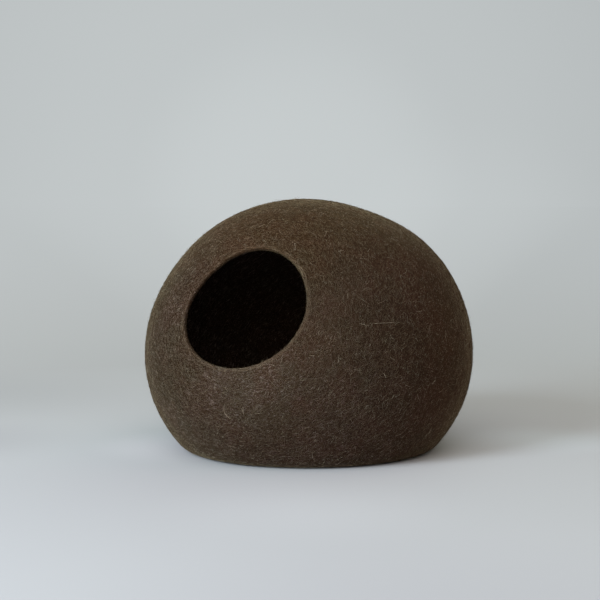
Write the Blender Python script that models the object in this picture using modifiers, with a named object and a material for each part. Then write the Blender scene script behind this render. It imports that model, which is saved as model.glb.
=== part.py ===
# Felt cat cave: one seamless shell of thick wool felt, a low dome with one round mouth.
# Metres and degrees, +Z up. The origin is the centre of the flat base, and the mouth faces -Y.
import math
from collections import namedtuple

import bmesh
import bpy
from mathutils import Vector

# Driving dimensions of the dome
HALF_WIDTH = 0.2235      # side to side at the belly
HALF_DEPTH = 0.229       # front to back at the belly
BELLY_HEIGHT = 0.130     # from the floor to the widest ring
CROWN_RISE = 0.2115      # from the widest ring to the crown
BELLY_DROP = 0.200       # how far the lower half would hang below the widest ring with no floor
BASE_BLEND = 0.011       # above and below the floor line, where the wall rolls into the base
WALL = 0.006             # thickness of the felt

# The mouth, seen from the belly's centre
MOUTH_RISE = 23.0        # its direction above the horizontal
MOUTH_SPREAD = 22.08     # half the angle that it takes up
FLATTENING = 0.022       # how far the felt round the mouth is drawn in
FLATTENING_SPREAD = 28.0
RIM_ROUND = 0.0022       # rounding of the rim's two edges
RIM_SEGMENTS = 2

# Soft swells and hollows left by felting by hand: the direction of each from the belly's
# centre (turn from +X, rise above the horizontal), how wide it spreads, and its height
Swell = namedtuple("Swell", "turn rise spread height")
SWELLS = (
    Swell(turn=-93.0, rise=-20.0, spread=17.0, height=0.0045),
    Swell(turn=-45.0, rise=5.0, spread=14.0, height=-0.002),
    Swell(turn=-125.0, rise=15.0, spread=15.0, height=0.0015),
    Swell(turn=30.0, rise=45.0, spread=22.0, height=0.002),
    Swell(turn=30.0, rise=68.0, spread=18.0, height=-0.003),
    Swell(turn=210.0, rise=60.0, spread=20.0, height=0.0015),
    Swell(turn=210.0, rise=35.0, spread=20.0, height=-0.0015),
)

# How the mouth's rim strays from a circle, as cut by hand: the number of waves round it,
# their share of the spread, and where the first one lies
Wave = namedtuple("Wave", "count share turn")
MOUTH_WAVES = (
    Wave(count=1, share=0.029, turn=150.0),
    Wave(count=2, share=0.037, turn=49.0),
    Wave(count=3, share=0.027, turn=88.0),
    Wave(count=4, share=0.008, turn=9.5),
)

# How finely the shell is divided
STEPS_ROUND = 64         # round the mouth's axis
RINGS = 34               # from the mouth to the far side

FELT_COLOUR = (0.045, 0.033, 0.023, 1.0)
FELT_ROUGHNESS = 0.95


def clear_scene():
    for old in list(bpy.data.objects):
        bpy.data.objects.remove(old)


def direction(turn, rise):
    """Unit vector turned from +X about Z and raised above the horizontal."""
    turn = math.radians(turn)
    rise = math.radians(rise)
    flat = math.cos(rise)
    return Vector((flat * math.cos(turn), flat * math.sin(turn), math.sin(rise)))


def falloff(one, other, spread):
    """Soft weight that is 1 where two directions agree and fades over the spread."""
    return math.exp(-((one.angle(other, 0.0) / math.radians(spread)) ** 2))


MOUTH_AXIS = direction(-90.0, MOUTH_RISE)
MOUTH_SIDE = Vector((1.0, 0.0, 0.0))
MOUTH_UP = MOUTH_SIDE.cross(MOUTH_AXIS) * -1.0


def settle(height):
    """Rolls the wall smoothly into a dead flat base at z = 0."""
    if height >= BASE_BLEND:
        return height
    if height <= -BASE_BLEND:
        return 0.0
    return (height + BASE_BLEND) ** 2 / (4.0 * BASE_BLEND)


def wall_point(toward):
    """Point of the outer surface that lies in this direction from the belly's centre."""
    reach = CROWN_RISE if toward.z > 0.0 else BELLY_DROP
    point = Vector((HALF_WIDTH * toward.x, HALF_DEPTH * toward.y, BELLY_HEIGHT + reach * toward.z))
    point -= MOUTH_AXIS * FLATTENING * falloff(toward, MOUTH_AXIS, FLATTENING_SPREAD)
    for swell in SWELLS:
        middle = direction(swell.turn, swell.rise)
        point += toward * swell.height * falloff(toward, middle, swell.spread)
    point.z = settle(point.z)
    return point


def mouth_angle(around):
    """Angle from the mouth's axis to its rim, a little uneven as cut by hand."""
    straying = sum(wave.share * math.cos(wave.count * (around - math.radians(wave.turn)))
                   for wave in MOUTH_WAVES)
    return math.radians(MOUTH_SPREAD) * (1.0 + straying)


def shell_surface(mesh):
    """Open surface: a sphere with its pole on the mouth's axis, opened there and drawn to shape."""
    ball = bmesh.new()
    bmesh.ops.create_uvsphere(ball, u_segments=STEPS_ROUND, v_segments=RINGS, radius=1.0)
    pole = max(ball.verts, key=lambda vert: vert.co.z)
    bmesh.ops.delete(ball, geom=[pole], context="VERTS")
    first = math.pi / RINGS
    for vert in ball.verts:
        around = math.atan2(vert.co.y, vert.co.x)
        passed = (math.acos(max(-1.0, min(1.0, vert.co.z))) - first) / (math.pi - first)
        rim = mouth_angle(around)
        polar = rim + passed * (math.pi - rim)
        across = MOUTH_SIDE * math.cos(around) + MOUTH_UP * math.sin(around)
        vert.co = wall_point(MOUTH_AXIS * math.cos(polar) + across * math.sin(polar))
    bmesh.ops.recalc_face_normals(ball, faces=ball.faces)
    ball.to_mesh(mesh)
    ball.free()
    mesh.shade_smooth()


def felt_material():
    felt = bpy.data.materials.new("felt")
    felt.use_nodes = True
    shader = felt.node_tree.nodes["Principled BSDF"]
    shader.inputs["Base Color"].default_value = FELT_COLOUR
    shader.inputs["Roughness"].default_value = FELT_ROUGHNESS
    shader.inputs["Metallic"].default_value = 0.0
    return felt


def felt_shell(collection):
    mesh = bpy.data.meshes.new("felt_shell")
    shell_surface(mesh)
    mesh.materials.append(felt_material())
    shell = bpy.data.objects.new("felt_shell", mesh)
    collection.objects.link(shell)

    thickness = shell.modifiers.new("felt thickness", "SOLIDIFY")
    thickness.thickness = WALL
    thickness.offset = -1.0
    thickness.use_even_offset = True
    thickness.use_rim = True

    rim = shell.modifiers.new("rounded rim", "BEVEL")
    rim.width = RIM_ROUND
    rim.segments = RIM_SEGMENTS
    rim.limit_method = "ANGLE"
    rim.angle_limit = math.radians(60.0)
    return shell


def main():
    clear_scene()
    collection = bpy.data.collections.new("felt cat cave")
    bpy.context.scene.collection.children.link(collection)
    felt_shell(collection)


main()
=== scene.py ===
import math

import bpy
import numpy as np
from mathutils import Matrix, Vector, noise


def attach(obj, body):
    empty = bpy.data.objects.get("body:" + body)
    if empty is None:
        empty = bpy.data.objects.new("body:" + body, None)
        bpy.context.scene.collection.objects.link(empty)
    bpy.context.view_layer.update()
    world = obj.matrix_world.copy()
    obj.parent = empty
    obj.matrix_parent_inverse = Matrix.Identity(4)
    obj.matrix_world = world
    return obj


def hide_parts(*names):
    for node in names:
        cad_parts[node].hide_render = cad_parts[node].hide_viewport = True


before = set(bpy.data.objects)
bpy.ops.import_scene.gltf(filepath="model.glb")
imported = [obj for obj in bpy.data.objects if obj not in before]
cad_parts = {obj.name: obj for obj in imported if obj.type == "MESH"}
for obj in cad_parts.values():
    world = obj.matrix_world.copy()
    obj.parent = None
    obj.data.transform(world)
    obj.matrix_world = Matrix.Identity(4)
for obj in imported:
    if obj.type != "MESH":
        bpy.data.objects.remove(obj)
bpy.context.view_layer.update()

# The dome, in metres and degrees, as the felt solid has it. The mouth faces -Y.
dome = {
    "halfWidth": 0.2235,
    "halfDepth": 0.229,
    "bellyHeight": 0.130,        # height of the widest ring
    "crownRise": 0.2115,         # from the widest ring up to the crown
    "bellyDrop": 0.200,          # how far the lower half would hang with no floor
    "baseBlend": 0.011,          # where the wall rolls into the flat base
    "mouthRise": 23.0,           # direction of the mouth above the horizontal
    "mouthSpread": 22.08,        # half the angle that it takes up
    "mouthWaves": [              # how its rim strays from a circle: waves round it, size, turn
        (1, 0.029, 150.0),
        (2, 0.037, 49.0),
        (3, 0.027, 88.0),
        (4, 0.008, 9.5),
    ],
    "flattening": 0.022,         # how far the felt round the mouth is drawn in
    "flatteningSpread": 28.0,    # and how widely
    "swells": [                  # broad swells and hollows: turn, rise, spread, height
        (-93.0, -20.0, 17.0, 0.0045),
        (-45.0, 5.0, 14.0, -0.002),
        (-125.0, 15.0, 15.0, 0.0015),
        (30.0, 45.0, 22.0, 0.002),
        (30.0, 68.0, 18.0, -0.003),
        (210.0, 60.0, 20.0, 0.0015),
        (210.0, 35.0, 20.0, -0.0015),
    ],
    "wall": 0.006,               # how thick the felt is
    "relief": [(18.0, 0.0004), (52.0, 0.00008), (150.0, 0.00003)],   # lumps: (per metre, height)
    "reliefFade": 0.03,          # height above the floor where the lumps are whole
}


def unit(vectors):
    return vectors / np.linalg.norm(vectors, axis=-1, keepdims=True)


def heading(turn, rise):  # turned from +X about Z and raised above the horizontal
    turn, rise = math.radians(turn), math.radians(rise)
    return np.array([math.cos(rise) * math.cos(turn), math.cos(rise) * math.sin(turn), math.sin(rise)])


mouthAxis = heading(-90.0, dome["mouthRise"])
mouthSide = np.array([1.0, 0.0, 0.0])
mouthUp = np.cross(mouthAxis, mouthSide)


def fading(toward, middle, spread):  # 1 in the middle, soft towards the spread
    angle = np.arccos(np.clip(toward @ middle, -1.0, 1.0))
    return np.exp(-((angle / math.radians(spread)) ** 2))


def domePoints(toward):  # the outer face in these directions from the middle of the belly
    reach = np.where(toward[..., 2] > 0.0, dome["crownRise"], dome["bellyDrop"])
    points = toward * np.array([dome["halfWidth"], dome["halfDepth"], 1.0])
    points[..., 2] = dome["bellyHeight"] + reach * toward[..., 2]
    drawnIn = dome["flattening"] * fading(toward, mouthAxis, dome["flatteningSpread"])
    points -= drawnIn[..., None] * mouthAxis
    for turn, rise, spread, height in dome["swells"]:
        points += toward * (height * fading(toward, heading(turn, rise), spread))[..., None]
    blend = dome["baseBlend"]
    height = points[..., 2]
    rolled = (height + blend) ** 2 / (4.0 * blend)
    points[..., 2] = np.where(height > blend, height, np.where(height < -blend, 0.0, rolled))
    return points


def mouthAngles(around):  # angle from the mouth's axis to its rim, a little uneven
    straying = sum(size * np.cos(count * (around - math.radians(turn)))
                   for count, size, turn in dome["mouthWaves"])
    return math.radians(dome["mouthSpread"]) * (1.0 + straying)


def directions(polar, around):  # polar is the angle from the mouth's axis
    across = np.cos(around)[..., None] * mouthSide + np.sin(around)[..., None] * mouthUp
    return np.cos(polar)[..., None] * mouthAxis + np.sin(polar)[..., None] * across


def sidesOf(toward):  # two directions square to each direction and to each other
    upright = np.abs(toward[..., 2:3]) >= 0.9
    helper = np.where(upright, [1.0, 0.0, 0.0], [0.0, 0.0, 1.0])
    first = unit(np.cross(helper, toward))
    return first, np.cross(toward, first)


def domeFaces(toward):  # points, outward normals and how much skin each direction stands for
    first, second = sidesOf(toward)
    step = 2e-4                  # a small turn, in radians
    slopes = [
        (domePoints(unit(toward + step * side)) - domePoints(unit(toward - step * side))) / (2.0 * step)
        for side in (first, second)
    ]
    normals = np.cross(slopes[0], slopes[1])
    skin = np.linalg.norm(normals, axis=-1)
    return domePoints(toward), normals / skin[..., None], skin


def reliefAt(points):  # the soft lumps that felting leaves, none of them on the base
    flat = points.reshape(-1, 3)
    heights = np.zeros(len(flat))
    for scale, height in dome["relief"]:
        heights += height * np.array([noise.noise(Vector(place)) for place in flat * scale])
    heights *= np.clip(flat[:, 2] / dome["reliefFade"], 0.0, 1.0)
    return heights.reshape(points.shape[:-1])


def meshOf(name, points, triangles, marks):  # marks are the corners' places on the bake map
    mesh = bpy.data.meshes.new(name)
    mesh.vertices.add(len(points))
    mesh.vertices.foreach_set("co", points.ravel())
    mesh.loops.add(triangles.size)
    mesh.loops.foreach_set("vertex_index", triangles.ravel())
    mesh.polygons.add(len(triangles))
    mesh.polygons.foreach_set("loop_start", np.arange(0, triangles.size, 3))
    layer = mesh.uv_layers.new(name="OFBake")
    layer.data.foreach_set("uv", marks.ravel())
    mesh.update(calc_edges=True)
    mesh.shade_smooth()
    return mesh


def addPiece(name, mesh, material):
    piece = bpy.data.objects.new(name, mesh)
    bpy.context.scene.collection.objects.link(piece)
    mesh.materials.append(material)
    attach(piece, "root")
    return piece


def newMaterial(name):
    material = bpy.data.materials.new(name)
    material.use_nodes = True
    material.node_tree.nodes.clear()
    return material, material.node_tree


def addNode(tree, kind, inputs=None, **settings):  # an input is a value, or a socket to link
    node = tree.nodes.new(kind)
    for key, value in settings.items():
        setattr(node, key, value)
    for key, value in (inputs or {}).items():
        socket = node.inputs[key]
        if isinstance(value, bpy.types.NodeSocket):
            tree.links.new(value, socket)
        else:
            socket.default_value = value
    return node


def calculate(tree, operation, *values, **settings):  # arithmetic on numbers and sockets
    node = addNode(tree, "ShaderNodeMath", dict(enumerate(values)), operation=operation, **settings)
    return node.outputs["Value"]


def calculateVector(tree, operation, *vectors):  # some operations give a vector, some a value
    node = addNode(tree, "ShaderNodeVectorMath", dict(enumerate(vectors)), operation=operation)
    return node.outputs


def addNoise(tree, place, scale, detail, roughness=0.5):
    node = addNode(tree, "ShaderNodeTexNoise", {
        "Vector": place, "Scale": scale, "Detail": detail, "Roughness": roughness})
    return node.outputs["Fac"]


def mapRange(tree, value, low, high, top=1.0, smooth=False):  # 0 at low, and top at high
    node = addNode(tree, "ShaderNodeMapRange", {
        "Value": value, "From Min": low, "From Max": high, "To Max": top},
        interpolation_type="SMOOTHSTEP" if smooth else "LINEAR")
    return node.outputs["Result"]


def nearTo(tree, toward, middle, spread, top=1.0):  # top in one direction, soft out to the spread
    near = calculateVector(tree, "DOT_PRODUCT", toward, middle)["Value"]
    return mapRange(tree, near, math.cos(math.radians(spread)), 1.0, top, smooth=True)


def addRamp(tree, factor, stops, interpolation="LINEAR"):  # stops are (position, grey or colour)
    ramp = addNode(tree, "ShaderNodeValToRGB", {"Fac": factor})
    elements = ramp.color_ramp.elements
    ramp.color_ramp.interpolation = interpolation
    while len(elements) < len(stops):
        elements.new(1.0)
    for element, (position, tone) in zip(elements, stops):
        element.position = position
        element.color = (tone, tone, tone, 1.0) if isinstance(tone, float) else (*tone, 1.0)
    return ramp.outputs["Color"]


def mixColours(tree, factor, first, second, blend="MIX"):
    # the node's sockets share their names, so those for colours are picked by number
    mix = addNode(tree, "ShaderNodeMix", data_type="RGBA", blend_type=blend)
    for number, value in ((0, factor), (6, first), (7, second)):
        socket = mix.inputs[number]
        if isinstance(value, bpy.types.NodeSocket):
            tree.links.new(value, socket)
        elif isinstance(value, float):
            socket.default_value = value
        else:
            socket.default_value = (*value, 1.0)
    return mix.outputs[2]


def newGroup(name, inputs, outputs):
    group = bpy.data.node_groups.new(name, "ShaderNodeTree")
    for label, kind, value in inputs:
        socket = group.interface.new_socket(name=label, in_out="INPUT", socket_type=kind)
        socket.default_value = value
    for label, kind in outputs:
        group.interface.new_socket(name=label, in_out="OUTPUT", socket_type=kind)
    return group, addNode(group, "NodeGroupInput"), addNode(group, "NodeGroupOutput")


def placeGroup(tree, group, **values):
    node = addNode(tree, "ShaderNodeGroup", node_tree=group)
    for label, value in values.items():
        node.inputs[label].default_value = value
    return node.outputs


woolSpecular = 0.05  # wool hardly shines, apart from its sheen


def finishWool(tree, look, inputs):  # look gives the sheen, inputs the rest of the skin
    skin = addNode(tree, "ShaderNodeBsdfPrincipled", {
        **inputs, "Specular IOR Level": woolSpecular, "Sheen Weight": look["sheen"],
        "Sheen Roughness": look["sheenRoughness"], "Sheen Tint": (*look["sheenTint"], 1.0)})
    addNode(tree, "ShaderNodeOutputMaterial", {"Surface": skin.outputs["BSDF"]})


# The wool's tone: clouds of warmer and greyer wool, with broad patches of painted light and shade over
# them, shared by the wall and its fibres.

woolToneAndPaintedLight = {
    "warm": (0.0394, 0.0184, 0.0090),
    "grey": (0.0360, 0.0188, 0.0090),
    "patchScale": 26.0,          # per metre: patches of a few centimetres
    "patchDetail": 3.0,
    "patchRoughness": 0.6,
    "patchRange": (0.36, 0.64),  # warm wool below, grey wool above
    "cloudScale": 7.0,           # larger clouds, darker and lighter
    "cloudDetail": 2.0,
    "cloudRange": (0.3, 0.7),
    "cloudDepth": 0.13,
    "paintedLightPatches": [                   # painted light and shade: broad patches lit, shaded and tinted by which way the felt faces: turn and rise, spread, colour
        (-64.0, 78.0, 55.0, (1.05, 1.02, 0.77)),
        (-125.0, -10.0, 60.0, (0.975, 1.04, 1.07)),
        (-85.0, -3.0, 20.0, (1.12, 1.21, 1.30)),
        (-50.0, 8.0, 36.0, (0.84, 0.88, 0.87)),
        (0.0, 8.0, 45.0, (1.06, 1.00, 1.03)),
        (-160.0, 25.0, 35.0, (1.08, 1.19, 1.00)),
        (-50.0, -35.0, 50.0, (0.92, 0.925, 1.06)),
        (-117.5, 34.0, 15.0, (0.90, 0.90, 0.86)),
        (-67.5, 34.0, 14.0, (0.85, 0.85, 0.76)),
        (-77.0, -20.0, 15.0, (0.89, 0.90, 0.84)),
        (-117.0, -1.0, 20.0, (0.88, 0.89, 0.82)),
        (-13.0, 12.0, 14.0, (1.10, 1.09, 1.08)),
        (-35.0, 5.0, 24.0, (0.89, 0.90, 0.90)),
        (-45.0, 42.0, 16.0, (0.90, 0.90, 0.91)),
    ],
    "tinge": (1.0, 1.19, 1.42),  # what is paler is greyer too, and what is darker is browner
}


def tinged(tone, share=1.0):  # a grey as a colour, tinged by this share of the wool's tinge
    return tuple(tone ** (1.0 + share * (power - 1.0)) for power in woolToneAndPaintedLight["tinge"])


def tingedStops(stops, share=1.0):
    return [(position, tinged(tone, share)) for position, tone in stops]


def makeWoolToneAndPaintedLight():
    group, _, end = newGroup("wool tone and painted light", [], [("Color", "NodeSocketColor")])
    place = addNode(group, "ShaderNodeTexCoord").outputs["Object"]
    patches = addNoise(
        group, place, woolToneAndPaintedLight["patchScale"], woolToneAndPaintedLight["patchDetail"], woolToneAndPaintedLight["patchRoughness"])
    warmTo, greyFrom = woolToneAndPaintedLight["patchRange"]
    share = addRamp(group, patches, [(warmTo, 0.0), (greyFrom, 1.0)], "EASE")
    wool = mixColours(group, share, woolToneAndPaintedLight["warm"], woolToneAndPaintedLight["grey"])
    clouds = addNoise(group, place, woolToneAndPaintedLight["cloudScale"], woolToneAndPaintedLight["cloudDetail"])
    darkTo, lightFrom = woolToneAndPaintedLight["cloudRange"]
    depth = woolToneAndPaintedLight["cloudDepth"]
    shade = addRamp(group, clouds, [(darkTo, 1.0 - depth), (lightFrom, 1.0 + depth)])
    wool = mixColours(group, 1.0, wool, shade, "MULTIPLY")
    fromMiddle = calculateVector(group, "SUBTRACT", place, (0.0, 0.0, dome["bellyHeight"]))["Vector"]
    toward = calculateVector(group, "NORMALIZE", fromMiddle)["Vector"]
    # painted light and shade: each patch tints the wool where the felt faces that way
    for turn, rise, spread, cast in woolToneAndPaintedLight["paintedLightPatches"]:
        share = nearTo(group, toward, heading(turn, rise), spread)
        wool = mixColours(group, share, wool, cast, "MULTIPLY")
    group.links.new(wool, end.inputs["Color"])
    return group


# Grain: the crowded fibre ends in wall and fibres alike.

grain = {
    "scale": 1000.0,             # per metre
    "detail": 1.0,
    "roughness": 0.6,
    "tones": [(0.33, 0.50), (0.67, 1.55)],
}


def makeGrain():
    group, start, end = newGroup(
        "wool grain", [("Size", "NodeSocketFloat", 1.0)], [("Color", "NodeSocketColor")])
    place = addNode(group, "ShaderNodeTexCoord").outputs["Object"]
    scale = calculate(group, "MULTIPLY", start.outputs["Size"], grain["scale"])
    speck = addNoise(group, place, scale, grain["detail"], grain["roughness"])
    tone = addRamp(group, speck, tingedStops(grain["tones"]))
    group.links.new(tone, end.inputs["Color"])
    return group


# Fleck: short streaks, the fibres too fine to be modelled. Some cross, most run round the mouth.

fleck = {
    "scale": 780.0,              # per metre across a streak
    "stretch": 0.42,             # share of that along it
    "turns": [(0.0, 0.0, 0.0), (0.9, 0.3, 1.1)],    # how those that cross are turned, in radians
    "flowAcross": 1100.0,        # how crowded those round the mouth are, across them
    "flowRound": 18.0,           # and along them
    "flowWarps": [(30.0, 0.007), (19.0, -0.012)],   # how they waver: per metre, size
    "warpDetail": 1.0,
    "detail": 1.5,
    "range": (0.49, 0.80),       # noise from the foot to the top of a streak
    "tones": [(0.0, 0.22), (0.40, 0.72), (1.0, 6.5)],
    "plain": 0.90,               # the tone where they fade
    "acrossTurn": 25.0,          # how clear they are changes across the felt, as painted light and shade: clearest on the lit side, faintest on the shaded side; which way, how far to either side, and from first to last
    "across": 0.20,              # how far to either side, and from first to last
    "litSideClearness": [(0.0, 0.86), (0.2, 0.64), (0.65, 0.47), (1.0, 0.03)],
}


def makeFleck():
    group, _, end = newGroup(
        "wool fleck", [], [("Height", "NodeSocketFloat"), ("Color", "NodeSocketColor")])
    place = addNode(group, "ShaderNodeTexCoord").outputs["Object"]
    streaks = []
    for turn in fleck["turns"]:
        turned = addNode(group, "ShaderNodeMapping", {
            "Vector": place, "Rotation": turn, "Scale": (1.0, fleck["stretch"], 1.0)})
        streaks.append(addNoise(group, turned.outputs["Vector"], fleck["scale"], fleck["detail"]))

    marks = addNode(group, "ShaderNodeUVMap", uv_map="OFBake").outputs["UV"]
    parts = addNode(group, "ShaderNodeSeparateXYZ", {"Vector": marks}).outputs
    turned = calculate(group, "MULTIPLY", parts["X"], 2.0 * math.pi)
    across, along = [
        calculate(group, "MULTIPLY", calculate(group, wave, turned), fleck["flowRound"])
        for wave in ("COSINE", "SINE")
    ]
    for scale, size in fleck["flowWarps"]:
        waver = addNoise(group, place, scale, fleck["warpDetail"])
        shifted = calculate(group, "MULTIPLY_ADD", waver, 2.0 * size, parts["Y"])
        row = calculate(group, "MULTIPLY", shifted, fleck["flowAcross"])
        flow = addNode(group, "ShaderNodeCombineXYZ", {"X": across, "Y": along, "Z": row})
        streaks.append(addNoise(group, flow.outputs["Vector"], 1.0, fleck["detail"]))

    tallest = streaks[0]
    for streak in streaks[1:]:
        tallest = calculate(group, "MAXIMUM", tallest, streak)
    height = mapRange(group, tallest, *fleck["range"])
    group.links.new(height, end.inputs["Height"])
    # painted light and shade: the flecks are clear on the lit side and fade to the plain tone on the
    # shaded side
    sideways = calculateVector(group, "DOT_PRODUCT", place, heading(fleck["acrossTurn"], 0.0))["Value"]
    side = mapRange(group, sideways, -fleck["across"], fleck["across"])
    litSideClearness = addRamp(group, side, fleck["litSideClearness"])
    tone = addRamp(group, height, tingedStops(fleck["tones"]))
    tone = mixColours(group, litSideClearness, tinged(fleck["plain"]), tone)
    group.links.new(tone, end.inputs["Color"])
    return group


# The felt wall: outer face, rolled rim and inner face in one closed sheet.

feltWall = {
    "columns": 320,              # steps round the mouth
    "outerRows": 196,            # rows from the rim to the back
    "rimRows": 9,                # rows round the cut edge
    "innerRows": 84,
    "rimRound": 0.0025,          # how far the cut edge is rounded
    "rimSquareness": 2.5,        # 2 is a half ellipse, more is squarer
    "rimReach": 0.215,           # from the middle of the belly to the rim
    "rimWavers": [(11.0, 0.0035), (30.0, 0.0025)],   # how the cut strays: turns of noise, radians
    "flat": (0.60, 1.00),        # the wall laid out
    "flatArea": 0.54,
    "mapRim": (0.42, 0.38),      # the rim's rows on the bake map, outer face above, inner below
    "mapCap": 0.001,             # height of the caps at the back, on the map
    "roughness": (0.88, 1.0),    # on a fibre and between fibres
    "bump": 0.28,
    "bumpHeight": 0.0006,
    "sheen": 0.23,
    "sheenRoughness": 0.30,
    "sheenTint": (0.93, 0.74, 0.44),
    "shade": 0.86,               # the wall between its fibres is a little darker
    "innerPaintedLight": (1.8, 2.1, 2.5),    # painted light: the inner face is painted paler and greyer, to lift its shade
    "innerFade": 0.02,           # where that sets in below the rim, on the bake map
}


def makeFeltMaterial(toneAndPaintedLightGroup, grainGroup, fleckGroup):
    material, tree = newMaterial("felt")
    tone = placeGroup(tree, toneAndPaintedLightGroup)["Color"]
    flecks = placeGroup(tree, fleckGroup)
    grains = placeGroup(tree, grainGroup, Size=1.0)["Color"]
    shade = feltWall["shade"]
    colour = mixColours(tree, 1.0, tone, flecks["Color"], "MULTIPLY")
    colour = mixColours(tree, 1.0, colour, grains, "MULTIPLY")
    colour = mixColours(tree, 1.0, colour, (shade, shade, shade), "MULTIPLY")
    # painted light: below the rim the inner face is made paler and greyer
    marks = addNode(tree, "ShaderNodeUVMap", uv_map="OFBake").outputs["UV"]
    height = addNode(tree, "ShaderNodeSeparateXYZ", {"Vector": marks}).outputs["Y"]
    rimFoot = feltWall["mapRim"][1]
    inside = mapRange(tree, height, rimFoot, rimFoot - feltWall["innerFade"])
    colour = mixColours(tree, inside, colour, feltWall["innerPaintedLight"], "MULTIPLY")
    smoothest, roughest = feltWall["roughness"]
    rough = addNode(tree, "ShaderNodeMapRange", {
        "Value": flecks["Height"], "To Min": roughest, "To Max": smoothest})
    bump = addNode(tree, "ShaderNodeBump", {
        "Strength": feltWall["bump"], "Distance": feltWall["bumpHeight"], "Height": flecks["Height"]})
    finishWool(tree, feltWall, {
        "Base Color": colour, "Roughness": rough.outputs["Result"], "Normal": bump.outputs["Normal"]})
    return material


def rimAngles(around):  # the cut edge, which strays a little from the mouth's even line
    rim = mouthAngles(around) + feltWall["rimRound"] / feltWall["rimReach"]
    circle = np.stack([np.cos(around), np.sin(around), np.zeros(len(around))], -1)
    for scale, size in feltWall["rimWavers"]:
        rim += size * np.array([noise.noise(Vector(place)) for place in circle * scale])
    return rim


def faceRows(around, rim, steps, inwards):  # a step is 0 at the rim and 1 at the back
    nearPole = 0.5 / feltWall["outerRows"]
    polar = rim + np.minimum(steps, 1.0 - nearPole)[:, None] * (math.pi - rim)
    points, normals, _ = domeFaces(directions(polar, np.broadcast_to(around, polar.shape)))
    return points - normals * inwards, normals


def rimRows(before, edge, normals):  # rolled from the outer face's edge round to the inner face
    towardMouth = edge - before
    towardMouth = unit(towardMouth - (towardMouth * normals).sum(-1, keepdims=True) * normals)
    power = 2.0 / feltWall["rimSquareness"]
    places, facings = [], []
    for turn in np.linspace(0.0, math.pi, feltWall["rimRows"] + 2)[1:-1]:
        up = math.copysign(abs(math.cos(turn)) ** power, math.cos(turn))
        out = math.sin(turn) ** power
        lowered = edge + normals * (up - 1.0) * dome["wall"] / 2.0
        places.append(lowered + towardMouth * feltWall["rimRound"] * out)
        facings.append(unit(normals * up + towardMouth * out))
    return np.array(places), np.array(facings)


def wallTriangles():  # rows, then a cap at the back of each face, with the corners on the bake map
    columns = feltWall["columns"]
    rimTop, rimFoot = feltWall["mapRim"]
    heights = np.concatenate([
        np.linspace(1.0, rimTop, feltWall["outerRows"]),
        np.linspace(rimTop, rimFoot, feltWall["rimRows"] + 2)[1:-1],
        np.linspace(rimFoot, 0.0, feltWall["innerRows"])])
    count = len(heights)
    row, column = np.meshgrid(np.arange(count - 1), np.arange(columns), indexing="ij")
    following = (column + 1) % columns
    topLeft, topRight = row * columns + column, row * columns + following
    lowLeft, lowRight = (row + 1) * columns + column, (row + 1) * columns + following
    halves = ((topLeft, topRight, lowRight), (topLeft, lowRight, lowLeft))
    triangles = np.stack([np.stack(half, -1) for half in halves], 2).reshape(-1, 3)
    left, right = column / columns, (column + 1) / columns
    top, low = heights[row], heights[row + 1]
    corners = ((left, top), (right, top), (right, low), (left, top), (right, low), (left, low))
    marks = np.stack([np.stack(corner, -1) for corner in corners], 2).reshape(-1, 2)

    first = np.arange(columns)
    second = (first + 1) % columns
    outerPole, lastRow = count * columns, (count - 1) * columns
    outerCap = np.stack([np.full(columns, outerPole), second, first], -1)
    innerCap = np.stack([np.full(columns, outerPole + 1), lastRow + first, lastRow + second], -1)
    left, middle, right = first / columns, (first + 0.5) / columns, (first + 1) / columns
    cap = feltWall["mapCap"]
    outerMarks = ((middle, 1.0), (right, 1.0 - cap), (left, 1.0 - cap))
    innerMarks = ((middle, 0.0), (left, cap), (right, cap))
    for corners in (outerMarks, innerMarks):
        placed = [np.stack([across, np.full(columns, height)], -1) for across, height in corners]
        marks = np.concatenate([marks, np.stack(placed, 1).reshape(-1, 2)])
    return np.concatenate([triangles, outerCap, innerCap]), marks


def makeFeltWall(material):
    around = np.linspace(-math.pi, math.pi, feltWall["columns"], endpoint=False)
    rim = rimAngles(around)
    outer, outward = faceRows(around, rim, np.linspace(1.0, 0.0, feltWall["outerRows"]), 0.0)
    inner, innerNormals = faceRows(around, rim, np.linspace(0.0, 1.0, feltWall["innerRows"]), dome["wall"])
    rolled, rolledFacings = rimRows(outer[-2], outer[-1], outward[-1])
    places = np.concatenate([outer, rolled, inner])
    facings = np.concatenate([outward, rolledFacings, -innerNormals])
    places = places + facings * reliefAt(places)[..., None]

    back, backNormal, _ = domeFaces(directions(np.array([math.pi]), np.array([0.0])))
    outerPole = back + backNormal * reliefAt(back)[:, None]
    innerPole = back - backNormal * dome["wall"]
    points = np.concatenate([places.reshape(-1, 3), outerPole, innerPole])
    triangles, marks = wallTriangles()
    mesh = meshOf("felt wall", points, triangles, marks)
    wallPiece = addPiece("felt_wall", mesh, material)
    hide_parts("felt_shell")
    print("felt wall:", len(triangles), "triangles")
    return wallPiece


# Strands of wool, joined into one mesh for each kind.

strands = {
    "lowest": 0.0012,            # none lies where the outer face is lower than this,
    "lowestInside": 0.008,       # and none inside where it is lower than this
    "tries": 4,                  # directions drawn at a time for each strand wanted
    "mostSkin": 0.056,           # most skin that a direction stands for, in square metres per steradian
    "sides": 3,
    "mapMargin": 0.1,            # free border round a strand's square on the bake map
}


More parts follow.
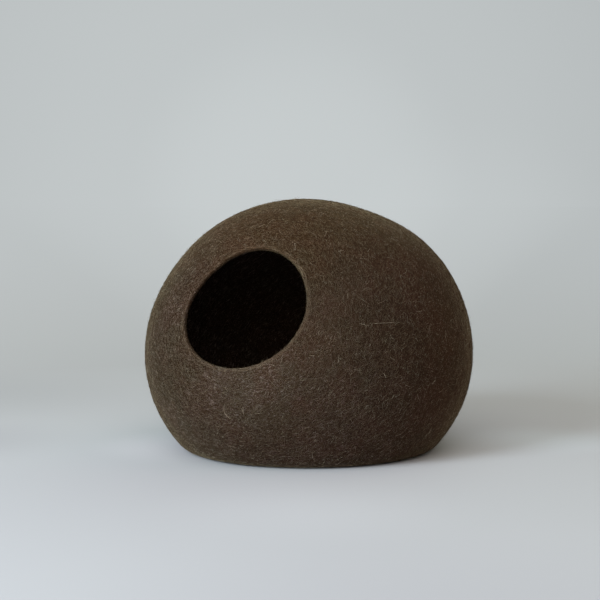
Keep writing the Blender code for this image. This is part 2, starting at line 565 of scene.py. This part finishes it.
def scatter(maker, kind):
    # even over the skin between two angles beyond the rim; sparse is the side of the mouth,
    # turned from its right, where that share of them is left out
    count = kind["count"]
    tries = strands["tries"] * count
    nearest, farthest = kind["beyondRim"]
    lowest = strands["lowestInside" if kind.get("inside") else "lowest"]
    found = []
    total = 0
    while total < count:
        polar = np.arccos(maker.uniform(-1.0, 1.0, tries))
        around = maker.uniform(-math.pi, math.pi, tries)
        beyond = polar - mouthAngles(around)
        toward = directions(polar, around)
        points, _, skin = domeFaces(toward)
        keep = (beyond > nearest) & (beyond < farthest) & (points[:, 2] > lowest)
        keep &= maker.uniform(0.0, strands["mostSkin"], tries) < skin
        if "sparse" in kind:
            side, share = kind["sparse"]
            facing = np.cos(around - math.radians(side)) * 0.5 + 0.5
            keep &= maker.uniform(0.0, 1.0, tries) > share * facing
        found.append(toward[keep])
        total += keep.sum()
    return np.concatenate(found)[:count]


def liesOf(maker, toward, wander):  # wool lies mostly round the mouth, and strays by so many degrees
    first, second = sidesOf(toward)
    ring = np.cross(mouthAxis, toward)
    lies = np.arctan2((ring * second).sum(-1), (ring * first).sum(-1))
    lies += np.radians(maker.normal(0.0, wander, len(toward)))
    return lies + math.pi * maker.integers(0, 2, len(toward))


def paths(toward, lies, lengths, bends, stations):
    # lines over the dome through each direction, bent by so much per metre
    first, second = sidesOf(toward)
    along = np.cos(lies)[:, None] * first + np.sin(lies)[:, None] * second
    aside = np.cross(toward, along)
    step = 1e-3
    reach = np.linalg.norm(domePoints(unit(toward + step * along)) - domePoints(toward), axis=-1) / step
    steps = stations[None, :] * (lengths / reach)[:, None]
    sidesteps = 0.5 * (bends * reach)[:, None] * steps ** 2
    straight = toward[:, None, :] + steps[..., None] * along[:, None, :]
    return unit(straight + sidesteps[..., None] * aside[:, None, :])


def strandMesh(name, centres, normals, radii):
    # three-sided strands with pointed ends: centres is strands x stations x 3
    sides = strands["sides"]
    count, stations, _ = centres.shape
    forward = np.gradient(centres, axis=1)
    sideways = unit(np.cross(normals, forward))
    upwards = unit(np.cross(forward, sideways))
    angles = 2.0 * np.arange(sides) * math.pi / sides
    spokes = np.cos(angles)[:, None] * upwards[:, 1:-1, None, :]
    spokes = spokes + np.sin(angles)[:, None] * sideways[:, 1:-1, None, :]
    rings = centres[:, 1:-1, None, :] + radii[:, None, None, None] * spokes
    points = np.concatenate([centres[:, :1], rings.reshape(count, -1, 3), centres[:, -1:]], axis=1)

    faces, marks = [], []        # of one strand
    tip = points.shape[1] - 1
    lastRing = tip - sides
    beforeLast, last = stations - 2.0, stations - 1.0
    for side in range(sides):
        following = (side + 1) % sides
        low, middle, high = float(side), side + 0.5, side + 1.0
        faces.append((0, 1 + following, 1 + side))
        marks.append(((0.0, middle), (1.0, high), (1.0, low)))
        for ring in range(stations - 3):
            here, there = 1 + sides * ring, 1 + sides * (ring + 1)
            near, far = ring + 1.0, ring + 2.0
            faces.append((here + side, here + following, there + following))
            marks.append(((near, low), (near, high), (far, high)))
            faces.append((here + side, there + following, there + side))
            marks.append(((near, low), (far, high), (far, low)))
        faces.append((lastRing + side, lastRing + following, tip))
        marks.append(((beforeLast, low), (beforeLast, high), (last, middle)))
    faces = np.array(faces)
    marks = np.array(marks).reshape(-1, 2) / np.array([last, float(sides)])

    triangles = (faces[None] + (np.arange(count) * (tip + 1))[:, None, None]).reshape(-1, 3)
    across = math.ceil(math.sqrt(count))
    cells = np.stack([np.arange(count) % across, np.arange(count) // across], -1)
    margin = strands["mapMargin"]
    placed = (cells[:, None, :] + margin + (1.0 - 2.0 * margin) * marks[None]) / across
    return meshOf(name, points.reshape(-1, 3), triangles, placed.reshape(-1, 2))


def layStrands(name, kind, maker, material):
    toward = scatter(maker, kind)
    lies = liesOf(maker, toward, kind["wander"])
    lengths = maker.uniform(*kind["length"], kind["count"])
    bends = maker.normal(0.0, kind["bend"], kind["count"])
    placed = kind.get("placed", [])
    if placed:
        turns, rises, ownLengths, ownLies, ownBends, ownRadii = zip(*placed)
        toward = np.concatenate([toward, [heading(*pair) for pair in zip(turns, rises)]])
        lengths = np.append(lengths, ownLengths)
        lies = np.append(lies, [math.radians(lie) for lie in ownLies])
        bends = np.append(bends, ownBends)
    count = len(toward)
    points, normals, _ = domeFaces(paths(toward, lies, lengths, bends, np.array(kind["stations"])))

    least, usual, most = kind["lift"]
    rise = np.minimum(least + maker.exponential(usual, count), most)
    free = maker.uniform(0.0, 1.0, count) < kind["freeEnds"]
    lifts = kind["sink"] + np.where(free[:, None], kind["freeShape"], kind["loopShape"]) * rise[:, None]
    floor = kind["floorGap"]
    if kind.get("inside"):
        wall = dome["wall"]
        floor += wall
        centres = points - normals * (wall + lifts - reliefAt(points - normals * wall))[..., None]
        normals = -normals
    else:
        centres = points + normals * (lifts + reliefAt(points))[..., None]
    centres[..., 2] = np.maximum(centres[..., 2], floor)

    radii = maker.uniform(*kind["radius"], count)
    if placed:
        radii[-len(placed):] = ownRadii
    mesh = strandMesh(name, centres, normals, radii)
    piece = addPiece(name.replace(" ", "_"), mesh, material)
    print(name + ":", count, "strands,", len(mesh.polygons), "triangles")
    return piece


coarseWool = {                   # short thick wool lying in the face of the felt
    "count": 8500,
    "length": (0.005, 0.010),
    "radius": (0.00018, 0.00028),
    "bend": 35.0,                # usual bend, per metre
    "stations": (-0.5, -0.17, 0.17, 0.5),            # its points, along its length
    "lift": (0.00002, 0.00012, 0.0006),              # least, usual above that, and most
    "sink": -0.00005,            # the whole strand is set so far into the face
    "freeEnds": 0.0,             # share with one end standing free
    "freeShape": (0.0, 1.0, 1.0, 0.0),               # share of the lift at each point
    "loopShape": (-1.0, 1.0, 1.0, -1.0),
    "floorGap": 0.0004,          # no point is nearer the floor than this
    "beyondRim": (0.020, 4.0),   # radians past the mouth's edge
    "wander": 38.0,              # how far it strays from its way round the mouth, in degrees
    "seed": 11,
}

middleWool = {                   # longer and finer
    "count": 9000,
    "length": (0.008, 0.015),
    "radius": (0.00013, 0.00020),
    "bend": 42.0,
    "stations": (-0.5, -0.17, 0.17, 0.5),
    "lift": (0.00008, 0.00016, 0.0008),
    "sink": -0.00004,
    "freeEnds": 0.0,
    "freeShape": (0.0, 1.0, 1.0, 0.0),
    "loopShape": (-1.0, 1.0, 1.0, -1.0),
    "floorGap": 0.0004,
    "beyondRim": (0.022, 4.0),
    "wander": 34.0,
    "seed": 12,
}

longWool = {                     # the longest, lying over the rest
    "count": 8000,
    "length": (0.012, 0.022),
    "radius": (0.00009, 0.00015),
    "bend": 45.0,
    "stations": (-0.5, -0.27, 0.0, 0.27, 0.5),
    "lift": (0.00012, 0.00014, 0.0007),
    "sink": -0.00002,
    "freeEnds": 0.1,
    "freeShape": (-0.5, 0.8, 1.0, 1.5, 2.0),
    "loopShape": (-0.5, 0.9, 1.0, 0.9, -0.5),
    "floorGap": 0.0004,
    "beyondRim": (0.026, 4.0),
    "wander": 33.0,
    "seed": 13,
}

innerWool = {                    # the same wool on the inner face
    "inside": True,
    "count": 4600,
    "length": (0.007, 0.014),
    "radius": (0.00020, 0.00032),
    "bend": 45.0,
    "stations": (-0.5, -0.17, 0.17, 0.5),
    "lift": (0.00002, 0.00010, 0.0005),
    "sink": -0.00005,
    "freeEnds": 0.0,
    "freeShape": (0.0, 1.0, 1.0, 0.0),
    "loopShape": (-1.0, 1.0, 1.0, -1.0),
    "floorGap": 0.0008,
    "beyondRim": (0.03, 4.0),
    "wander": 45.0,
    "seed": 23,
}

haze = {                         # the finest hairs, close over the face
    "count": 30000,
    "length": (0.004, 0.009),
    "radius": (0.00006, 0.00011),
    "bend": 0.0,
    "stations": (-0.5, 0.0, 0.5),
    "lift": (0.0003, 0.0004, 0.0020),
    "sink": -0.0001,
    "freeEnds": 0.4,
    "freeShape": (0.0, 0.6, 1.0),
    "loopShape": (0.0, 1.0, 0.0),
    "floorGap": 0.0004,
    "beyondRim": (0.014, 4.0),
    "wander": 34.0,
    "seed": 43,
}

fuzz = {                         # fine hairs standing off the face
    "count": 8000,
    "length": (0.007, 0.015),
    "radius": (0.00004, 0.00008),
    "bend": 50.0,
    "stations": (-0.5, -0.15, 0.2, 0.5),
    "lift": (0.0005, 0.0009, 0.0038),
    "sink": -0.0001,
    "freeEnds": 0.45,
    "freeShape": (0.0, 0.45, 0.8, 1.0),
    "loopShape": (0.0, 0.8, 0.9, 0.0),
    "floorGap": 0.0004,
    "beyondRim": (0.016, 4.0),
    "wander": 65.0,
    "seed": 37,
}

strayHairs = {                   # the few long pale hairs
    "count": 420,
    "length": (0.005, 0.015),
    "radius": (0.00007, 0.00015),
    "bend": 50.0,
    "stations": (-0.5, -0.33, -0.17, 0.0, 0.17, 0.33, 0.5),
    "lift": (0.0003, 0.0003, 0.0015),
    "sink": 0.0,
    "freeEnds": 0.4,
    "freeShape": (0.0, 0.5, 0.7, 0.8, 0.9, 1.0, 1.0),
    "loopShape": (0.0, 0.7, 0.9, 1.0, 0.9, 0.7, 0.0),
    "floorGap": 0.0006,
    "beyondRim": (0.03, 4.0),
    "wander": 70.0,
    "seed": 5,
    "placed": [                  # turn and rise of the middle, length, lie from level, bend, radius
        (-93.0, -15.5, 0.024, -67.0, 77.0, 0.00036),
        (-38.7, 16.0, 0.035, -0.5, -2.0, 0.00015),
        (-31.5, 55.0, 0.013, -46.0, 37.0, 0.00016),
        (-51.0, 26.0, 0.008, -97.0, 0.0, 0.00024),
        (-39.4, -2.0, 0.008, -67.0, 10.0, 0.00018),
        (-49.0, 0.5, 0.010, -15.0, -8.0, 0.00016),
        (-19.0, -6.0, 0.008, 45.0, 20.0, 0.00016),
        (-36.0, -10.0, 0.007, 62.0, 0.0, 0.00016),
        (-45.7, 15.5, 0.007, -58.0, 5.0, 0.00016),
        (-48.0, -12.5, 0.009, -84.0, -12.0, 0.00016),
        (-64.0, 6.0, 0.007, -3.0, 0.0, 0.00018),
        (-74.0, 4.5, 0.006, -98.0, 8.0, 0.00018),
        (-92.0, -6.5, 0.011, -50.0, -15.0, 0.00016),
        (-85.5, -2.0, 0.007, 21.0, 10.0, 0.00018),
    ],
}

lipWoolAndHighlight = {                      # loose wool along the edge of the mouth, partly a painted highlight: pale where the rolled rim catches the light
    "count": 1000,
    "length": (0.006, 0.013),
    "radius": (0.00009, 0.00017),
    "bend": 30.0,
    "stations": (-0.5, -0.17, 0.17, 0.5),
    "lift": (0.00005, 0.0002, 0.0009),
    "sink": -0.0001,
    "freeEnds": 0.3,
    "freeShape": (0.0, 0.3, 0.7, 1.0),
    "loopShape": (-1.0, 1.0, 1.0, -1.0),
    "floorGap": 0.0004,
    "beyondRim": (0.002, 0.024),
    "sparse": (160.0, 0.9),      # fewest at the mouth's left, above its middle, where the rim is in shade
    "wander": 18.0,
    "seed": 29,
}

fibreWool = {
    "brightness": [(0.0, 0.55), (0.5, 0.88), (0.8, 1.25), (0.95, 1.7), (1.0, 2.4)],
    "pale": (0.080, 0.058, 0.037),       # undyed hairs among the brown,
    "palest": 0.18,              # and how far the palest comes to them
    "grains": (1.0,),            # layers of grain and their sizes
    "greying": 1.0,              # share of the wool's tinge
    "roughness": 0.85,
    "sheen": 0.23,
    "sheenRoughness": 0.30,
    "sheenTint": (0.93, 0.74, 0.44),
}

fuzzWool = {
    "brightness": [(0.0, 1.3), (0.6, 2.2), (1.0, 3.5)],
    "pale": (0.20, 0.155, 0.092),
    "palest": 0.7,
    "grains": (1.0, 0.8, 0.8),
    "greying": 0.3,
    "roughness": 0.85,
    "sheen": 0.25,
    "sheenRoughness": 0.35,
    "sheenTint": (0.85, 0.72, 0.48),
}

# pale wool for the mouth's edge, partly a painted highlight along the lit rim
edgeWoolAndHighlight = {
    "brightness": [(0.0, 0.9), (0.6, 1.7), (1.0, 3.8)],
    "pale": (0.17, 0.125, 0.080),
    "palest": 0.6,
    "grains": (1.0,),
    "greying": 0.3,
    "roughness": 0.85,
    "sheen": 0.22,
    "sheenRoughness": 0.35,
    "sheenTint": (0.85, 0.70, 0.45),
}

strayWool = {
    "brightness": [(0.0, 2.5), (1.0, 4.0)],
    "pale": (0.44, 0.36, 0.25),
    "palest": 0.8,
    "grains": (1.0,),
    "greying": 0.5,
    "roughness": 0.85,
    "sheen": 0.3,
    "sheenRoughness": 0.5,
    "sheenTint": (0.9, 0.80, 0.60),
}


def makeFibreMaterial(name, wool, toneAndPaintedLightGroup, grainGroup):
    material, tree = newMaterial(name)
    tone = placeGroup(tree, toneAndPaintedLightGroup)["Color"]
    each = addNode(tree, "ShaderNodeNewGeometry").outputs["Random Per Island"]
    brightness = addRamp(tree, each, tingedStops(wool["brightness"], wool["greying"]))
    colour = mixColours(tree, 1.0, tone, brightness, "MULTIPLY")
    other = addNode(tree, "ShaderNodeTexWhiteNoise", {"W": each}, noise_dimensions="1D")
    paleShare = calculate(tree, "MULTIPLY", other.outputs["Value"], wool["palest"])
    colour = mixColours(tree, paleShare, colour, wool["pale"])
    for size in wool["grains"]:
        grains = placeGroup(tree, grainGroup, Size=size)["Color"]
        colour = mixColours(tree, 1.0, colour, grains, "MULTIPLY")
    finishWool(tree, wool, {"Base Color": colour, "Roughness": wool["roughness"]})
    return material


# The studio: a pale floor that fades into a pale surround, one soft light, and the camera.

studio = {
    "floorSteps": 128,
    "floorRings": (0.5, 1.0, 2.0, 4.0, 8.0, 16.0, 32.0, 60.0),
    "floorDrop": 0.0003,         # it lies so far below the felt
    "floorNear": (0.480, 0.476, 0.490),
    "floorFar": (0.440, 0.448, 0.456),
    "floorBlend": (-1.2, 0.7),   # painted shade, darker away from the viewer: far tone to here, near tone from there, towards the viewer
    "floorRoughness": 0.8,
    "floorSpecular": 0.2,
    "fadeFrom": 1.055,           # the floor is whole up to here, then gives way to the surround
    "fadePower": 1.4,
    "surround": (0.592, 0.628, 0.635),
    "seenByHeight": [(0.0, 1.0), (0.15, 0.98), (1.0, 0.85)],    # it dims upwards
    "pools": [                   # painted light: the backdrop is palest behind the felt: turn, rise, spread, gain
        (270.0, 3.0, 14.0, 0.07),
        (270.0, 0.5, 7.0, 0.08),
        (277.5, -2.0, 6.0, 0.010),
        (263.0, -2.5, 6.0, 0.04),
    ],
    "floorPaintedLight": [            # painted light and shade on the floor, paler beside the felt and darker further off: aside, towards the viewer, spread, gain
        (-0.15, 0.00, 0.17, (1.40, 1.33, 1.35)),
        (0.33, -0.06, 0.15, (1.13, 1.18, 1.19)),
        (0.00, 0.40, 0.21, (1.07, 1.07, 1.07)),
        (0.10, 0.88, 0.42, (0.92, 0.91, 0.92)),
        (-0.62, -0.50, 0.45, (0.90, 0.90, 0.90)),
        (-0.50, -0.05, 0.22, (0.90, 0.89, 0.90)),
    ],
    "lightSideTurn": 53.0,       # the surround is brighter towards here
    "lightSideGain": 0.20,
}

roomGlow = [                     # broad glows that light the felt: turn, rise, focus, colour
    (90.0, 50.0, 6.0, (2.42, 2.45, 2.50)),
    (60.0, 12.0, 4.0, (0.73, 0.58, 0.30)),
    (240.0, 12.0, 4.0, (0.95, 1.20, 0.90)),
    (270.0, 50.0, 6.0, (0.25, 0.30, 0.40)),
    (180.0, 50.0, 6.0, (0.32, 0.06, 0.00)),
    (0.0, 12.0, 4.0, (0.16, 0.25, 0.16)),
]

softLight = {
    "turn": 45.0,                # from straight left of the view towards the viewer
    "rise": 18.0,
    "distance": 3.6,
    "aimHeight": 0.15,
    "width": 1.2,
    "height": 2.2,
    "power": 194.0,              # watts
    "colour": (0.745, 0.886, 1.0),
}

view = {
    "turn": 25.58,               # from straight in front of the mouth towards +X
    "rise": 4.0,
    "distance": 2.0,
    "aimAside": -0.0125,
    "aimHeight": 0.2026,
    "lens": 87.2,                # in millimetres, as the sensor is
    "sensor": 36.0,
    "farthest": 200.0,
}


def viewAxes():
    turn = math.radians(view["turn"])
    right = Vector((math.cos(turn), math.sin(turn), 0.0))
    nearer = Vector((math.sin(turn), -math.cos(turn), 0.0))
    return right, nearer


def makeCamera():
    right, nearer = viewAxes()
    rise = math.radians(view["rise"])
    back = nearer * math.cos(rise) + Vector((0.0, 0.0, math.sin(rise)))
    aim = right * view["aimAside"] + Vector((0.0, 0.0, view["aimHeight"]))
    lensData = bpy.data.cameras.new("camera")
    lensData.lens = view["lens"]
    lensData.sensor_width = view["sensor"]
    lensData.clip_end = view["farthest"]
    camera = bpy.data.objects.new("camera", lensData)
    camera.location = aim + back * view["distance"]
    camera.rotation_euler = back.to_track_quat("Z", "Y").to_euler()
    bpy.context.scene.collection.objects.link(camera)
    bpy.context.scene.camera = camera


def viewHeading(turn, rise):  # turned from straight left of the view towards the viewer, and raised
    right, nearer = viewAxes()
    turn, rise = math.radians(turn), math.radians(rise)
    level = nearer * math.sin(turn) - right * math.cos(turn)
    return level * math.cos(rise) + Vector((0.0, 0.0, math.sin(rise)))


def makeLight():
    toward = viewHeading(softLight["turn"], softLight["rise"])
    lamp = bpy.data.lights.new("soft light", "AREA")
    lamp.shape = "RECTANGLE"
    lamp.size = softLight["width"]
    lamp.size_y = softLight["height"]
    lamp.energy = softLight["power"]
    lamp.color = softLight["colour"]
    light = bpy.data.objects.new("soft light", lamp)
    aim = Vector((0.0, 0.0, softLight["aimHeight"]))
    light.location = toward * softLight["distance"] + aim
    light.rotation_euler = toward.to_track_quat("Z", "Y").to_euler()
    light.visible_camera = False
    bpy.context.scene.collection.objects.link(light)


def sideGain(tree, toward):  # the surround is a little brighter on the light's side
    lightSide = viewHeading(studio["lightSideTurn"], 0.0)
    side = calculateVector(tree, "DOT_PRODUCT", toward, lightSide)["Value"]
    return calculate(tree, "MULTIPLY_ADD", side, studio["lightSideGain"], 1.0)


def poolGain(tree, toward):  # painted light: the backdrop is brighter behind the felt
    gain = 1.0
    for turn, rise, spread, height in studio["pools"]:
        share = nearTo(tree, toward, viewHeading(turn, rise), spread, height)
        gain = calculate(tree, "ADD", share, gain)
    return gain


def roomLight(tree, toward):
    total = (0.0, 0.0, 0.0)
    for turn, rise, focus, colour in roomGlow:
        near = calculateVector(tree, "DOT_PRODUCT", toward, viewHeading(turn, rise))["Value"]
        ahead = calculate(tree, "MAXIMUM", near, 0.0)
        total = mixColours(tree, calculate(tree, "POWER", ahead, focus), total, colour, "ADD")
    return total


def makeSurround():  # what lights the felt and what the camera sees behind it are set apart
    world = bpy.data.worlds.new("surround")
    bpy.context.scene.world = world
    world.use_nodes = True
    tree = world.node_tree
    tree.nodes.clear()
    toward = addNode(tree, "ShaderNodeTexCoord").outputs["Generated"]
    height = addNode(tree, "ShaderNodeSeparateXYZ", {"Vector": toward}).outputs["Z"]
    dimming = addRamp(tree, height, studio["seenByHeight"])
    seen = mixColours(tree, 1.0, dimming, studio["surround"], "MULTIPLY")
    seen = mixColours(tree, 1.0, poolGain(tree, toward), seen, "MULTIPLY")
    seen = mixColours(tree, 1.0, sideGain(tree, toward), seen, "MULTIPLY")
    inView = addNode(tree, "ShaderNodeLightPath").outputs["Is Camera Ray"]
    colour = mixColours(tree, inView, roomLight(tree, toward), seen)
    glow = addNode(tree, "ShaderNodeBackground", {"Color": colour, "Strength": 1.0})
    addNode(tree, "ShaderNodeOutputWorld", {"Surface": glow.outputs["Background"]})


def floorMesh():
    steps, rings = studio["floorSteps"], studio["floorRings"]
    angles = np.linspace(0.0, 2.0 * math.pi, steps, endpoint=False)
    points = [(0.0, 0.0, 0.0)]
    points += [(radius * math.cos(turn), radius * math.sin(turn), 0.0)
               for radius in rings for turn in angles]
    faces = [(0, 1 + step, 1 + (step + 1) % steps) for step in range(steps)]
    for ring in range(len(rings) - 1):
        inner, outer = 1 + ring * steps, 1 + (ring + 1) * steps
        for step in range(steps):
            following = (step + 1) % steps
            faces.append((inner + step, outer + step, outer + following, inner + following))
    mesh = bpy.data.meshes.new("floor")
    mesh.from_pydata(points, [], faces)
    return mesh


def makeFloorMaterial():
    material, tree = newMaterial("pale floor")
    place = addNode(tree, "ShaderNodeTexCoord").outputs["Object"]
    right, nearer = viewAxes()
    forward = calculateVector(tree, "DOT_PRODUCT", place, nearer)["Value"]
    # painted shade: the floor tone darkens away from the viewer
    nearShare = mapRange(tree, forward, *studio["floorBlend"])
    tone = mixColours(tree, nearShare, studio["floorFar"], studio["floorNear"])
    # painted light and shade: patches of paler and darker floor
    for aside, ahead, spread, gain in studio["floorPaintedLight"]:
        away = calculateVector(tree, "DISTANCE", place, right * aside + nearer * ahead)["Value"]
        share = mapRange(tree, away, spread, 0.0, smooth=True)
        tone = mixColours(tree, share, tone, gain, "MULTIPLY")
    matt = addNode(tree, "ShaderNodeBsdfPrincipled", {
        "Base Color": tone, "Roughness": studio["floorRoughness"],
        "Specular IOR Level": studio["floorSpecular"]})

    # painted light: further out the floor glows with the surround's colour, its pools and side gain, and
    # is not lit
    side = calculateVector(tree, "NORMALIZE", place)["Vector"]
    surround = mixColours(tree, 1.0, poolGain(tree, side), studio["surround"], "MULTIPLY")
    glow = addNode(tree, "ShaderNodeEmission", {"Color": surround, "Strength": sideGain(tree, side)})
    away = calculateVector(tree, "LENGTH", place)["Value"]
    nearness = calculate(tree, "DIVIDE", studio["fadeFrom"], away)
    whole = calculate(tree, "POWER", nearness, studio["fadePower"])
    faded = calculate(tree, "SUBTRACT", 1.0, whole, use_clamp=True)
    blend = addNode(tree, "ShaderNodeMixShader", {
        0: faded, 1: matt.outputs["BSDF"], 2: glow.outputs["Emission"]})
    addNode(tree, "ShaderNodeOutputMaterial", {"Surface": blend.outputs["Shader"]})
    return material


def makeFloor():
    floor = bpy.data.objects.new("floor", floorMesh())
    floor.location.z = -studio["floorDrop"]
    floor.data.materials.append(makeFloorMaterial())
    bpy.context.scene.collection.objects.link(floor)


toneAndPaintedLightGroup = makeWoolToneAndPaintedLight()
fleckGroup = makeFleck()
grainGroup = makeGrain()
wallMaterial = makeFeltMaterial(toneAndPaintedLightGroup, grainGroup, fleckGroup)
fibreMaterial = makeFibreMaterial("wool fibres", fibreWool, toneAndPaintedLightGroup, grainGroup)
fuzzMaterial = makeFibreMaterial("wool fuzz", fuzzWool, toneAndPaintedLightGroup, grainGroup)
edgeWoolAndHighlightMaterial = makeFibreMaterial("edge wool and highlight", edgeWoolAndHighlight, toneAndPaintedLightGroup, grainGroup)
strayMaterial = makeFibreMaterial("pale hairs", strayWool, toneAndPaintedLightGroup, grainGroup)
print("wool materials made")

wallPiece = makeFeltWall(wallMaterial)
for name, kind, material in (
        ("coarse wool", coarseWool, fibreMaterial),
        ("middle wool", middleWool, fibreMaterial),
        ("long wool", longWool, fibreMaterial),
        ("inner wool", innerWool, fibreMaterial),
        ("lip wool and highlight", lipWoolAndHighlight, edgeWoolAndHighlightMaterial),
        ("haze", haze, fuzzMaterial),
        ("fuzz", fuzz, fuzzMaterial),
        ("stray hairs", strayHairs, strayMaterial)):
    maker = np.random.default_rng(kind["seed"])
    layStrands(name, kind, maker, material)

makeFloor()
makeSurround()
makeLight()
makeCamera()
bpy.context.scene.view_settings.view_transform = "Standard"
print("studio made: floor, surround, light and camera")
